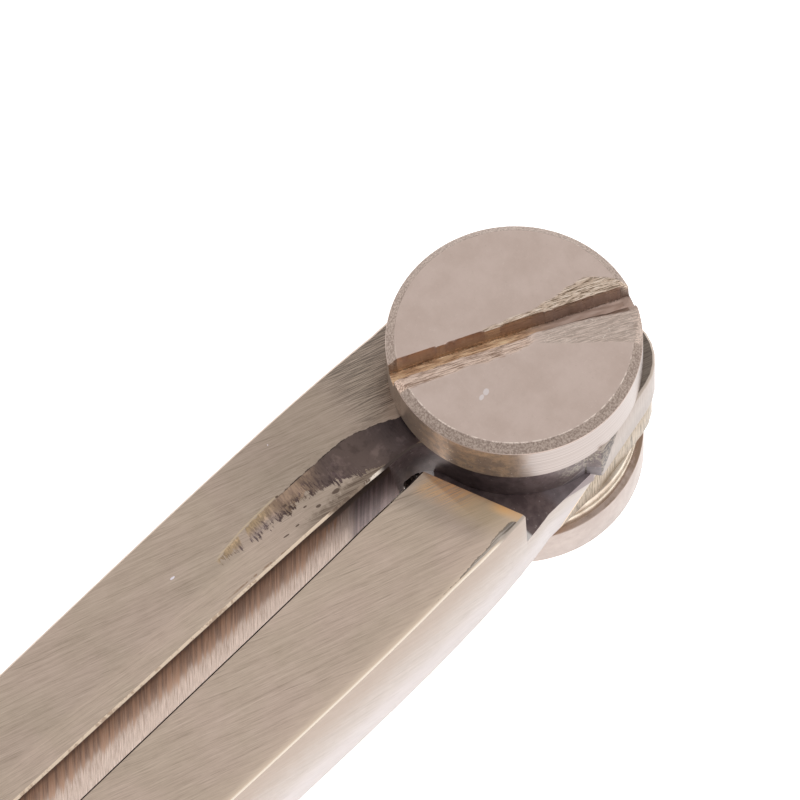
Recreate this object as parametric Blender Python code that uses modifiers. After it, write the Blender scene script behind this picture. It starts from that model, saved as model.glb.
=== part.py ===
"""A pair of straight chart dividers with a half-lap joint and one large slotted screw.

Metres, +Z up. The origin is the centre of the round underside of the pivot post, on the pivot's axis.
The legs point along -Y, a little open, the left one at -X. The left leg carries the upper lap and the
right leg the lower one: the right leg is the left one turned over about its own length.
A leg is drawn in its own frame, with the pivot at the origin, its length along -Y, its lap side up and
its body at -X.
"""

import math

import bmesh
import bpy
import numpy as np
from mathutils import Matrix, Vector

# The legs, each from the pivot's axis to the brass end.
LEG_LENGTH = 0.1250
LEG_THICKNESS = 0.0056
LEG_END_THICKNESS = 0.0032
THINNING_START = 0.0380
LEFT_INNER_FACE = 0.0007
RIGHT_INNER_FACE = 0.0012
INNER_NOSE = 0.0003
INNER_NOSE_LENGTH = 0.0030
LEG_END_OUTER = 0.0033
LEFT_OUTER_ROOT = 0.00668
RIGHT_OUTER_ROOT = 0.00721
LEFT_NECK_DEPTH = 0.00103
RIGHT_NECK_DEPTH = 0.00245
NECK_LENGTH = 0.0058
TAPER_POWER = 1.15
SECTION_LEAN = 0.0004
ARRIS = 0.00012
LEG_STATIONS = 30

# The half-lap joint.
REST_OPENING = math.radians(1.15)
LAP_CLEARANCE = 0.00003
SHOULDER_DISTANCE = 0.00725
SHOULDER_SKEW = math.radians(17.1)
LAP_RADIUS = 0.0058
CROTCH_FILLET = 0.0015
LAP_END = 0.00572
LAP_WIDE_SIDE = 0.00638
LAP_SWELL_START = math.radians(-10.0)
LAP_SWELL_END = -0.0004
LAP_TURN_RADIUS = 0.0028
LAP_CORNER_HALF = 0.0050
LAP_CORNER_RADIUS = 0.0027
OUTER_BLEND = 0.0039
BORE_CLEARANCE = 0.00005

# The hollow in the lap side of each leg, along the inner edge beside the joint.
HOLLOW_RADIUS = 0.0026
HOLLOW_START = (-0.0031, -0.0178)
HOLLOW_TURN = (-0.0026, -0.0100)
HOLLOW_END = (-0.0015, -0.0054)
HOLLOW_DEPTH = 0.00026

# The pivot: a round-headed post from below, and a slotted screw in it from above.
POST_HEAD_RADIUS = 0.0063
POST_HEAD_HEIGHT = 0.00265
POST_HEAD_CHAMFER = 0.0002
POST_BARREL_RADIUS = 0.0030
BARREL_SHORTFALL = 0.00015
SCREW_HEAD_RADIUS = 0.00625
SCREW_HEAD_HEIGHT = 0.00287
SCREW_CHAMFER_WIDTH = 0.00045
SCREW_CHAMFER_HEIGHT = 0.00042
SCREW_SHANK_RADIUS = 0.0019
THREAD_CLEARANCE = 0.00005
SHANK_END_ABOVE_BASE = 0.0016
SOCKET_FLOOR = 0.0011
SLOT_WIDTH = 0.00086
SLOT_DEPTH = 0.00115
SLOT_OFFSET = 0.0003
SLOT_DIRECTION = math.radians(-26.3)
WASHER_THICKNESS = 0.000665
UPPER_WASHER_RADIUS = 0.00595
LOWER_WASHER_RADIUS = 0.0060

# The steel points.
POINT_LENGTH = 0.0400
POINT_ROOT_RADIUS = 0.00125
POINT_COLLAR_LENGTH = 0.0022
POINT_TIP_RADIUS = 0.0001
POINT_TIP_OFFSET = 0.00025
POINT_SHANK_RADIUS = 0.0008
POINT_SHANK_LENGTH = 0.0085
END_TRIM = 0.0004

TURNED_STEPS = 96
SMALL_STEPS = 32
FLAT_WITHIN = math.radians(0.05)

# Heights that follow from the sizes above.
LOWER_WASHER_BASE = POST_HEAD_HEIGHT
UPPER_WASHER_BASE = LOWER_WASHER_BASE + WASHER_THICKNESS
LEG_BASE = UPPER_WASHER_BASE + WASHER_THICKNESS
LAP_PLANE = LEG_BASE + LEG_THICKNESS / 2
LEG_TOP = LEG_BASE + LEG_THICKNESS


def clear_scene():
    for old in list(bpy.data.objects):
        bpy.data.objects.remove(old, do_unlink=True)


def new_collection(name):
    collection = bpy.data.collections.new(name)
    bpy.context.scene.collection.children.link(collection)
    return collection


def metal(name, colour, roughness):
    material = bpy.data.materials.new(name)
    material.use_nodes = True
    shader = material.node_tree.nodes["Principled BSDF"]
    shader.inputs["Base Color"].default_value = (*colour, 1.0)
    shader.inputs["Metallic"].default_value = 1.0
    shader.inputs["Roughness"].default_value = roughness
    material.diffuse_color = (*colour, 1.0)
    return material


def make_cutter(obj):
    """Hides a helper that only cuts."""
    obj.hide_render = True
    obj.display_type = "WIRE"
    return obj


def cut(obj, cutter, name):
    modifier = obj.modifiers.new(name, "BOOLEAN")
    modifier.operation = "DIFFERENCE"
    modifier.solver = "EXACT"
    modifier.object = cutter


def mesh_object(name, mesh, collection, material=None):
    obj = bpy.data.objects.new(name, mesh)
    collection.objects.link(obj)
    if material:
        mesh.materials.append(material)
    return obj


def turned(name, profile, collection, material, steps=TURNED_STEPS, closed=False):
    """A turned piece: the profile (radius, height), running down its outer side, spun about Z."""
    mesh = bpy.data.meshes.new(name)
    edges = [(i, i + 1) for i in range(len(profile) - 1)]
    if closed:
        edges.append((len(profile) - 1, 0))
    mesh.from_pydata([(radius, 0.0, height) for radius, height in profile], edges, [])
    obj = mesh_object(name, mesh, collection, material)
    spin = obj.modifiers.new("spin", "SCREW")
    spin.angle = math.tau
    spin.steps = steps
    spin.render_steps = steps
    spin.use_merge_vertices = True
    spin.merge_threshold = 1e-6
    spin.use_smooth_shade = True
    return obj


def cylinder_cutter(name, radius, bottom, top, collection, steps):
    """An upright cylinder on the Z axis."""
    mesh = bpy.data.meshes.new(name)
    shape = bmesh.new()
    bmesh.ops.create_cone(
        shape,
        cap_ends=True,
        segments=steps,
        radius1=radius,
        radius2=radius,
        depth=top - bottom,
        matrix=Matrix.Translation((0, 0, (top + bottom) / 2)),
    )
    shape.to_mesh(mesh)
    shape.free()
    return make_cutter(mesh_object(name, mesh, collection))


def box_cutter(name, low, high, collection):
    mesh = bpy.data.meshes.new(name)
    shape = bmesh.new()
    size = Vector(high) - Vector(low)
    middle = (Vector(high) + Vector(low)) / 2
    bmesh.ops.create_cube(shape, size=1.0, matrix=Matrix.Translation(middle) @ Matrix.Diagonal((*size, 1.0)))
    shape.to_mesh(mesh)
    shape.free()
    return make_cutter(mesh_object(name, mesh, collection))


def arc(centre, radius, start, end, count):
    """Points on a circle from one angle to another."""
    angles = np.linspace(start, end, count)
    return [(centre[0] + radius * math.cos(a), centre[1] + radius * math.sin(a)) for a in angles]


def rounded_corner(before, corner, after, radius, count=7):
    """The corner of two straight edges, rounded to a radius."""
    corner = Vector(corner)
    towards_before = (Vector(before) - corner).normalized()
    towards_after = (Vector(after) - corner).normalized()
    half = towards_before.angle(towards_after) / 2
    centre = corner + (towards_before + towards_after).normalized() * radius / math.sin(half)
    first = corner + towards_before * radius / math.tan(half) - centre
    turn = math.pi - 2 * half
    side = 1.0 if towards_before.cross(towards_after) < 0 else -1.0
    start = math.atan2(first.y, first.x)
    return arc(centre, radius, start, start + side * turn, count)


def outer_side(distance, root, neck):
    """The outer side's distance from the leg's axis: a taper towards the point, drawn in at the neck."""
    taper = (root - LEG_END_OUTER) * (distance / LEG_LENGTH) ** TAPER_POWER
    return root - taper - neck * math.exp(-distance / NECK_LENGTH)


def inner_side(distance, inner):
    """The inner face's distance from the leg's axis: straight, but nearer the other leg by the joint."""
    return inner - INNER_NOSE * math.exp((SHOULDER_DISTANCE - distance) / INNER_NOSE_LENGTH)


def swell(start, start_slope, end, end_slope, count):
    """A smooth curve between two points with the directions that it has at each, without the first."""
    shares = np.linspace(0, 1, count)[1:, None]
    start, start_slope, end, end_slope = (np.array(v) for v in (start, start_slope, end, end_slope))
    rise = shares**2 * (3 - 2 * shares)
    leave = shares * (1 - shares) ** 2
    arrive = -(shares**2) * (1 - shares)
    return [tuple(p) for p in start + (end - start) * rise + start_slope * leave + end_slope * arrive]


def leg_outline(root, neck, inner):
    """The plan of a leg and its lap, anticlockwise, in the leg's own frame."""
    reach = LAP_RADIUS + CROTCH_FILLET
    crotch_x = -inner_side(SHOULDER_DISTANCE, inner) + CROTCH_FILLET
    crotch = Vector((crotch_x, -math.sqrt(reach**2 - crotch_x**2)))
    crotch_angle = math.atan2(crotch.y, crotch.x)
    nose_length = THINNING_START + crotch.y
    nose = -crotch.y + nose_length * np.linspace(1, 0, 12)[:-1] ** 2
    points = [(-inner, -LEG_LENGTH)] + [(-inner_side(d, inner), -d) for d in nose]
    points += arc(crotch, CROTCH_FILLET, math.pi, crotch_angle + math.pi, 9)
    points += arc((0, 0), LAP_RADIUS, crotch_angle, LAP_SWELL_START, 24)[1:]
    wide_start = (LAP_WIDE_SIDE, LAP_SWELL_END)
    end_right = (LAP_CORNER_HALF, LAP_END)
    end_left = (-LAP_CORNER_HALF, LAP_END)
    outer_start = (-outer_side(OUTER_BLEND, root, neck), -OUTER_BLEND)
    outer_turn = (outer_start[0], LAP_SWELL_END)
    rise = LAP_SWELL_END - points[-1][1]
    heading = (-math.sin(LAP_SWELL_START) * rise, math.cos(LAP_SWELL_START) * rise)
    points += swell(points[-1], heading, wide_start, (0, rise), 8)
    points += rounded_corner(wide_start, end_right, end_left, LAP_CORNER_RADIUS)
    points += rounded_corner(end_right, end_left, outer_turn, LAP_CORNER_RADIUS)
    points += rounded_corner(end_left, outer_turn, outer_start, LAP_TURN_RADIUS)
    distances = OUTER_BLEND + (LEG_LENGTH - OUTER_BLEND) * np.linspace(0, 1, LEG_STATIONS) ** 2
    points += [(-outer_side(d, root, neck), -d) for d in distances]
    return points


def shape_blank(points):
    """Thins a leg's blank towards its point, and leans its section towards the other leg at the bottom."""
    distance = -points[:, 1]
    thinning = np.clip((distance - THINNING_START) / (LEG_LENGTH - THINNING_START), 0, 1)
    depth = np.clip(0.5 - points[:, 2] / LEG_THICKNESS, 0, 1)
    away = np.clip((distance - OUTER_BLEND) / SHOULDER_DISTANCE, 0, 1)
    points[:, 0] += SECTION_LEAN * depth * away * (1 - thinning)
    points[:, 2] *= 1 - thinning * (1 - LEG_END_THICKNESS / LEG_THICKNESS)
    return points


def mesh_of_curve(curve, name, collection, material=None, reshape=None):
    """A curve made a closed mesh, reshaped, with its flat faces joined up, and the curve removed."""
    graph = bpy.context.evaluated_depsgraph_get()
    mesh = bpy.data.meshes.new_from_object(curve.evaluated_get(graph))
    if reshape:
        places = np.empty(len(mesh.vertices) * 3)
        mesh.vertices.foreach_get("co", places)
        mesh.vertices.foreach_set("co", reshape(places.reshape(-1, 3)).ravel())
    shape = bmesh.new()
    shape.from_mesh(mesh)
    bmesh.ops.remove_doubles(shape, verts=shape.verts, dist=1e-7)
    bmesh.ops.recalc_face_normals(shape, faces=shape.faces)
    bmesh.ops.dissolve_limit(shape, angle_limit=FLAT_WITHIN, verts=shape.verts, edges=shape.edges)
    bmesh.ops.connect_verts_nonplanar(shape, angle_limit=FLAT_WITHIN / 10, faces=shape.faces)
    shape.to_mesh(mesh)
    shape.free()
    mesh.name = name
    obj = mesh_object(name, mesh, collection, material)
    obj.matrix_world = curve.matrix_world
    bpy.data.objects.remove(curve, do_unlink=True)
    return obj


def leg_blank(name, sides, collection, material):
    """The outline of a leg, cut from thick plate with broken arrises, thinned and drafted."""
    data = bpy.data.curves.new(name, "CURVE")
    data.dimensions = "2D"
    data.fill_mode = "BOTH"
    data.extrude = LEG_THICKNESS / 2 - ARRIS
    data.bevel_depth = ARRIS
    data.bevel_resolution = 0
    data.offset = -ARRIS
    outline = leg_outline(*sides)
    spline = data.splines.new("POLY")
    spline.points.add(len(outline) - 1)
    for point, (x, y) in zip(spline.points, outline):
        point.co = (x, y, 0.0, 1.0)
    spline.use_cyclic_u = True
    curve = bpy.data.objects.new(name + "_outline", data)
    collection.objects.link(curve)
    return mesh_of_curve(curve, name, collection, material, shape_blank)


def hollow_cutter(name, collection):
    """The path of a round-nosed cutter: it enters the lap side at nothing and is deepest by the joint."""
    data = bpy.data.curves.new(name, "CURVE")
    data.dimensions = "3D"
    data.bevel_depth = HOLLOW_RADIUS
    data.bevel_resolution = 6
    data.use_fill_caps = True
    surface = LEG_THICKNESS / 2 + HOLLOW_RADIUS
    start, turn, end = (np.array(p) for p in (HOLLOW_START, HOLLOW_TURN, HOLLOW_END))
    shares = np.linspace(0, 1, 15)
    spline = data.splines.new("POLY")
    spline.points.add(len(shares) - 1)
    for point, share in zip(spline.points, shares):
        place = (1 - share) ** 2 * start + 2 * share * (1 - share) * turn + share**2 * end
        depth = HOLLOW_DEPTH * math.sin(min(share * 1.5, 1.0) * math.pi / 2)
        point.co = (*place, surface - depth, 1.0)
    curve = bpy.data.objects.new(name + "_path", data)
    collection.objects.link(curve)
    return make_cutter(mesh_of_curve(curve, name, collection))


def point_seat(inner):
    """The placement of a steel point in its leg's frame: its origin on the leg's end, +Z up the leg."""
    end_middle = -(inner + LEG_END_OUTER) / 2
    seat = Vector((end_middle, -LEG_LENGTH + END_TRIM, 0))
    tip = Vector((-POINT_TIP_OFFSET, -LEG_LENGTH - POINT_LENGTH, 0))
    return Matrix.Translation(seat) @ (seat - tip).to_track_quat("Z", "Y").to_matrix().to_4x4()


def make_leg(name, sides, parts, cutters, material):
    """One leg in its own frame, with its lap, bore, hollow and point socket.

    Its sides are the outer side's root, the depth that it is drawn in at the neck, and the inner face.
    """
    leg = leg_blank(name, sides, parts, material)
    below = -2 * LEG_THICKNESS
    span = 4 * SHOULDER_DISTANCE
    recess = box_cutter(
        name + "_recess",
        (-span, -SHOULDER_DISTANCE, below),
        (span, span, LAP_CLEARANCE / 2),
        cutters,
    )
    recess.rotation_euler.z = -SHOULDER_SKEW
    bore = cylinder_cutter(
        name + "_bore", POST_BARREL_RADIUS + BORE_CLEARANCE, below, -below, cutters, TURNED_STEPS
    )
    hollow = hollow_cutter(name + "_hollow", cutters)
    aside = 2 * LEG_END_OUTER
    end_face = box_cutter(name + "_end_face", (-aside, -aside, -aside), (aside, aside, 0), cutters)
    socket = cylinder_cutter(
        name + "_socket",
        POINT_SHANK_RADIUS + BORE_CLEARANCE,
        -POINT_SHANK_LENGTH,
        POINT_SHANK_LENGTH + BORE_CLEARANCE,
        cutters,
        SMALL_STEPS,
    )
    end_face.matrix_world = point_seat(sides[2])
    socket.matrix_world = point_seat(sides[2])
    for cutter in (recess, bore, hollow, end_face, socket):
        cutter.parent = leg
        cut(leg, cutter, cutter.name)
    return leg


def make_point(name, inner, leg, parts, material):
    """A steel needle point: a plain shank in the leg, a short collar and a long cone."""
    profile = [
        (0, POINT_SHANK_LENGTH),
        (POINT_SHANK_RADIUS, POINT_SHANK_LENGTH),
        (POINT_SHANK_RADIUS, 0),
        (POINT_ROOT_RADIUS, 0),
        (POINT_ROOT_RADIUS, -POINT_COLLAR_LENGTH),
        (POINT_TIP_RADIUS, -POINT_LENGTH),
        (0, -POINT_LENGTH),
    ]
    point = turned(name, profile, parts, material, SMALL_STEPS)
    point.matrix_world = point_seat(inner)
    point.parent = leg
    return point


def make_screw(parts, cutters, material):
    """The slotted screw: a chamfered cheese head on the legs' top, and a shank in the post."""
    rim = SCREW_HEAD_RADIUS - SCREW_CHAMFER_WIDTH
    top = LEG_TOP + SCREW_HEAD_HEIGHT
    profile = [
        (0, top),
        (rim, top),
        (SCREW_HEAD_RADIUS, top - SCREW_CHAMFER_HEIGHT),
        (SCREW_HEAD_RADIUS, LEG_TOP),
        (SCREW_SHANK_RADIUS, LEG_TOP),
        (SCREW_SHANK_RADIUS, SHANK_END_ABOVE_BASE),
        (0, SHANK_END_ABOVE_BASE),
    ]
    screw = turned("pivot_screw", profile, parts, material)
    reach = 2 * SCREW_HEAD_RADIUS
    slot = box_cutter(
        "pivot_screw_slot",
        (-SLOT_OFFSET - SLOT_WIDTH / 2, -reach, top - SLOT_DEPTH),
        (-SLOT_OFFSET + SLOT_WIDTH / 2, reach, top + SCREW_HEAD_HEIGHT),
        cutters,
    )
    slot.rotation_euler.z = SLOT_DIRECTION
    cut(screw, slot, "slot")
    return screw


def make_post(parts, material):
    """The post: a round head under the joint, and a barrel, threaded inside, through both laps."""
    socket = SCREW_SHANK_RADIUS + THREAD_CLEARANCE
    barrel_top = LEG_TOP - BARREL_SHORTFALL
    profile = [
        (0, SOCKET_FLOOR),
        (socket, SOCKET_FLOOR),
        (socket, barrel_top),
        (POST_BARREL_RADIUS, barrel_top),
        (POST_BARREL_RADIUS, POST_HEAD_HEIGHT),
        (POST_HEAD_RADIUS, POST_HEAD_HEIGHT),
        (POST_HEAD_RADIUS, POST_HEAD_CHAMFER),
        (POST_HEAD_RADIUS - POST_HEAD_CHAMFER, 0),
        (0, 0),
    ]
    return turned("pivot_post", profile, parts, material)


def make_washer(name, radius, base, parts, material):
    hole = POST_BARREL_RADIUS + BORE_CLEARANCE
    profile = [
        (hole, base + WASHER_THICKNESS),
        (radius, base + WASHER_THICKNESS),
        (radius, base),
        (hole, base),
    ]
    return turned(name, profile, parts, material, closed=True)


def main():
    clear_scene()
    parts = new_collection("chart_divider")
    cutters = new_collection("cutters")
    leg_metal = metal("leg_metal", (0.62, 0.55, 0.48), 0.42)
    screw_metal = metal("screw_metal", (0.68, 0.60, 0.55), 0.36)
    washer_metal = metal("washer_metal", (0.74, 0.66, 0.54), 0.34)
    point_steel = metal("point_steel", (0.55, 0.55, 0.56), 0.30)

    left_sides = (LEFT_OUTER_ROOT, LEFT_NECK_DEPTH, LEFT_INNER_FACE)
    left = make_leg("left_leg", left_sides, parts, cutters, leg_metal)
    left.location.z = LAP_PLANE
    left.rotation_euler = (0, 0, -REST_OPENING / 2)
    right_sides = (RIGHT_OUTER_ROOT, RIGHT_NECK_DEPTH, RIGHT_INNER_FACE)
    right = make_leg("right_leg", right_sides, parts, cutters, leg_metal)
    right.location.z = LAP_PLANE
    right.rotation_euler = (0, math.pi, REST_OPENING / 2)
    make_point("left_point", LEFT_INNER_FACE, left, parts, point_steel)
    make_point("right_point", RIGHT_INNER_FACE, right, parts, point_steel)

    make_screw(parts, cutters, screw_metal)
    make_post(parts, screw_metal)
    make_washer("upper_washer", UPPER_WASHER_RADIUS, UPPER_WASHER_BASE, parts, washer_metal)
    make_washer("lower_washer", LOWER_WASHER_RADIUS, LOWER_WASHER_BASE, parts, washer_metal)
    bpy.context.view_layer.update()


main()
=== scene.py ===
"""The chart divider's render: its worn metals, tool marks and torn screw slot, at the photograph's view."""

import math

import bmesh
import bpy
import numpy as np
from mathutils import Matrix, Vector


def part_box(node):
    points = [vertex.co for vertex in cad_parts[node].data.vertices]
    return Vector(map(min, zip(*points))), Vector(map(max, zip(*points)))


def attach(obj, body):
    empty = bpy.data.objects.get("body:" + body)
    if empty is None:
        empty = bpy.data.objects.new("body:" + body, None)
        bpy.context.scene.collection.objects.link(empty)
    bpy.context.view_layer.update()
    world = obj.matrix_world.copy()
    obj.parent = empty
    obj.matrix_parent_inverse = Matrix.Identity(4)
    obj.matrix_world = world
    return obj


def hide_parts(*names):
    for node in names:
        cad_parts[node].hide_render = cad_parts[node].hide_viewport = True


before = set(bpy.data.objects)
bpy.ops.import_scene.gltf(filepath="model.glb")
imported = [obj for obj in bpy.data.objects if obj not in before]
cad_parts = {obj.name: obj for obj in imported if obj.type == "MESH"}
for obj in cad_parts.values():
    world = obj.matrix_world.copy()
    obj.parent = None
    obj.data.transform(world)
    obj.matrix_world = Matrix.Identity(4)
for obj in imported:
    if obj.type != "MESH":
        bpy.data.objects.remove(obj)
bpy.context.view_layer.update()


# CAMERA
# A long lens looks steeply down on the joint from between the right leg's side and the points.
# The legs run out of the picture at the lower left.

MM = 0.001
VIEW_AZIMUTH = math.radians(47.08)
VIEW_ELEVATION = math.radians(62.97)
VIEW_ROLL = math.radians(3.28)
VIEW_SHIFT = (5.833 * MM, -2.349 * MM)
VIEW_DISTANCE = 398.17 * MM
VIEW_RAISE = 0.38 * MM

level = Vector((math.cos(VIEW_AZIMUTH), math.sin(VIEW_AZIMUTH), 0))
towards = Vector((math.sin(VIEW_AZIMUTH), -math.cos(VIEW_AZIMUTH), 0))
back = towards * math.cos(VIEW_ELEVATION) + Vector((0, 0, math.sin(VIEW_ELEVATION)))
steep = back.cross(level)
across = math.cos(VIEW_ROLL) * level - math.sin(VIEW_ROLL) * steep
upward = math.sin(VIEW_ROLL) * level + math.cos(VIEW_ROLL) * steep
place = VIEW_DISTANCE * back - VIEW_SHIFT[0] * across - VIEW_SHIFT[1] * upward + Vector((0, 0, VIEW_RAISE))
camera_data = bpy.data.cameras.new("camera")
camera_data.lens = 360
camera_data.sensor_width = 36
camera_data.clip_start = 0.01
camera_data.clip_end = 20
camera = bpy.data.objects.new("camera", camera_data)
camera.matrix_world = Matrix.Translation(place) @ Matrix((across, upward, back)).transposed().to_4x4()
bpy.context.scene.collection.objects.link(camera)
bpy.context.scene.camera = camera


# LIGHT AND FLOOR
# A white table in a light tent: the metal sees white all round and below, and a softer white overhead.

OVERHEAD = 0.74
FLOOR_HALF = 0.9

bpy.context.scene.view_settings.view_transform = "Standard"


def add(tree, kind, sockets=None, **settings):
    """A node with its settings, its sockets given values or linked to other nodes' outputs."""
    made = tree.nodes.new("ShaderNode" + kind)
    for name, value in settings.items():
        setattr(made, name, value)
    for key, value in (sockets or {}).items():
        if isinstance(value, bpy.types.NodeSocket):
            tree.links.new(value, made.inputs[key])
        else:
            made.inputs[key].default_value = value
    return made


world = bpy.data.worlds.new("light_tent")
bpy.context.scene.world = world
world.use_nodes = True
tent = world.node_tree
tent.nodes.clear()
height = add(tent, "SeparateXYZ", {0: add(tent, "TexCoord").outputs["Generated"]}).outputs["Z"]
white = add(tent, "MapRange", {0: height, 1: 0.0, 2: 0.8, 3: 1.0, 4: OVERHEAD}).outputs[0]
tent_light = add(tent, "Background", {"Color": white})
backdrop = add(tent, "Background", {"Color": (1, 1, 1, 1)})
seen = add(tent, "LightPath").outputs["Is Camera Ray"]
shown = add(tent, "MixShader", {0: seen, 1: tent_light.outputs[0], 2: backdrop.outputs[0]})
add(tent, "OutputWorld", {0: shown.outputs[0]})

floor_mesh = bpy.data.meshes.new("floor")
floor_corners = [(x * FLOOR_HALF, y * FLOOR_HALF, 0) for x, y in ((-1, -1), (1, -1), (1, 1), (-1, 1))]
floor_mesh.from_pydata(floor_corners, [], [(0, 1, 2, 3)])
floor = bpy.data.objects.new("floor", floor_mesh)
floor.location.z = -0.01 * MM
bpy.context.scene.collection.objects.link(floor)
floor_look = bpy.data.materials.new("floor")
floor_look.use_nodes = True
table = floor_look.node_tree
shader = table.nodes["Principled BSDF"]
shader.inputs["Base Color"].default_value = (0.9, 0.9, 0.9, 1)
shader.inputs["Roughness"].default_value = 0.9
shader.inputs["Emission Color"].default_value = (1, 1, 1, 1)
path = add(table, "LightPath").outputs
in_metal, in_glass = path["Is Glossy Ray"], path["Is Transmission Ray"]
mirrored = add(table, "Math", {0: in_metal, 1: in_glass}, operation="MAXIMUM").outputs[0]
lit = add(table, "Math", {0: path["Is Camera Ray"], 1: mirrored}, operation="MAXIMUM").outputs[0]
strength = add(table, "Math", {0: lit, 1: 0.85}, operation="MULTIPLY").outputs[0]
table.links.new(strength, shader.inputs["Emission Strength"])
floor_mesh.materials.append(floor_look)


# LEGS
# Two tapered nickel-silver bars, ground on a wheel along and across their outer faces. The inner faces
# keep a milling cutter's upright marks under a brown skin, and the laps and the hollow are left dark.

LEG_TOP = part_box("left_leg")[1].z / MM
GRIND_HEADING = math.radians(73.0)
GRIND_CROSSING = math.radians(66.0)
ARRIS_HEADING = math.radians(82.0)
WALL_HEADING = math.radians(-24.0)
CHATTER_HEADING = math.radians(-9.0)
LENGTHWISE = math.radians(90.0)
LEG_ROUNDING = 0.05 * MM
SHARP_ANGLE = math.radians(38.0)
# How high the lower lap's ledge lies.
LEDGE = LEG_TOP - 2.75

# Lines drawn on the upper faces, in mm: at each place along a leg, how far across it the line lies.
# The hollow's dark skin on the left leg runs between two of them.
HOLLOW_OUTER = [
    (-17.9, -2.95), (-16.5, -3.17), (-15.4, -3.28), (-13.0, -3.34), (-9.8, -3.27),
    (-8.8, -3.2), (-7.6, -2.85), (-6.5, -2.4), (-4.5, -1.3),
]
HOLLOW_INNER = [
    (-17.9, -2.9), (-17.2, -2.75), (-15.9, -2.5), (-14.4, -2.47), (-13.4, -2.25), (-12.6, -2.4),
    (-11.3, -2.0), (-10.2, -1.6), (-9.4, -1.2), (-8.6, -0.85), (-8.0, -0.55), (-4.5, -0.3),
]
# The bright left inner arris, the inner edge of the flat worn on the right outer arris, and the places
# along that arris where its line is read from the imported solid.
INNER_ARRIS = [(-30.0, -1.1), (-20.5, -1.09), (-15.5, -0.88), (-11.5, -0.6), (-9.8, -0.66), (-7.0, -0.6)]
WORN_ARRIS = [
    (-14.0, 6.5), (-12.3, 6.27), (-10.5, 6.2), (-9.0, 6.04), (-8.1, 6.0),
    (-7.5, 5.88), (-6.6, 5.84), (-6.1, 6.15), (-5.4, 6.3),
]
ARRIS_PLACES = (-36.0, -28.0, -20.0, -14.0, -10.0, -7.0, -5.5)
# Pits in the bare metal beside the hollow: across, along, and half their length and width.
PITS = [
    (-2.2, -13.4, 0.16, 0.05), (-1.5, -12.15, 0.13, 0.07), (-1.5, -13.6, 0.12, 0.04),
    (-1.5, -14.4, 0.2, 0.04), (-1.45, -11.0, 0.3, 0.12), (-2.75, -13.2, 0.1, 0.08),
    (-1.95, -12.6, 0.1, 0.05), (-3.35, -13.15, 0.1, 0.06),
]
# Two pale nicks on the left leg, written the same way.
NICKS = [(-3.9, -19.75, 0.13, 0.06), (-5.6, -11.5, 0.05, 0.04)]
# How deep the brown skin reaches down the inner face.
BROWN_DEPTH = [(-40.0, 2.4), (-20.0, 2.4), (-15.5, 2.5), (-13.5, 2.0), (-12.0, 1.1), (-10.0, 0.6)]


def calc(tree, operation, first, second=0.0, third=0.0):
    """The result of one maths operation on up to three numbers."""
    return add(tree, "Math", {0: first, 1: second, 2: third}, operation=operation).outputs[0]


def product(tree, *shares):
    """Several shares multiplied together."""
    total = shares[0]
    for share in shares[1:]:
        total = calc(tree, "MULTIPLY", total, share)
    return total


def blend(tree, share, first, second):
    """Two colours mixed by a share. Each is a socket, or a tuple of red, green and blue."""
    colours = [(*colour, 1) if isinstance(colour, tuple) else colour for colour in (first, second)]
    return add(tree, "Mix", {0: share, 6: colours[0], 7: colours[1]}, data_type="RGBA").outputs[2]


def scaled(tree, colour, share):
    """A colour made lighter or darker by a share."""
    if isinstance(colour, tuple):
        return tuple(part * share for part in colour)
    return add(tree, "VectorMath", {0: colour, "Scale": share}, operation="SCALE").outputs[0]


def ramp(tree, value, low, high):
    """0 at low and 1 at high, smoothly between, and clamped outside."""
    sockets = {"Value": value, "From Min": low, "From Max": high}
    return add(tree, "MapRange", sockets, interpolation_type="SMOOTHSTEP").outputs[0]


def noise(tree, vector, scale, detail=4.0, rough=0.55):
    """Cloudy noise round 0.5."""
    sockets = {"Vector": vector, "Scale": scale, "Detail": detail, "Roughness": rough}
    return add(tree, "TexNoise", sockets).outputs["Fac"]


def drawn(tree, value, points):
    """A smooth line through a few given points: its ordinate where value is its abscissa."""
    start, end = points[0][0], points[-1][0]
    low = min(y for x, y in points)
    high = max(y for x, y in points)
    share = add(tree, "MapRange", {0: value, 1: start, 2: end}).outputs[0]
    line = add(tree, "FloatCurve", {"Value": share})
    marks = line.mapping.curves[0].points
    while len(marks) < len(points):
        marks.new(0.5, 0.5)
    for mark, (x, y) in zip(marks, points):
        mark.location = ((x - start) / (end - start), (y - low) / (high - low))
    line.mapping.update()
    return add(tree, "MapRange", {0: line.outputs[0], 3: low, 4: high}, clamp=False).outputs[0]


def stripe(tree, distance, half):
    """1 within half of a line and 0 beyond one and a half times that."""
    return ramp(tree, calc(tree, "ABSOLUTE", distance), 1.5 * half, 0.5 * half)


def new_group(name, inputs, outputs):
    """An empty shader node group, with its own named sockets."""
    group = bpy.data.node_groups.new(name, "ShaderNodeTree")
    for label, kind, value in inputs:
        socket = group.interface.new_socket(label, in_out="INPUT", socket_type="NodeSocket" + kind)
        socket.default_value = value
    for label in outputs:
        group.interface.new_socket(label, in_out="OUTPUT", socket_type="NodeSocketFloat")
    return group, group.nodes.new("NodeGroupInput").outputs, group.nodes.new("NodeGroupOutput").inputs


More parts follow.
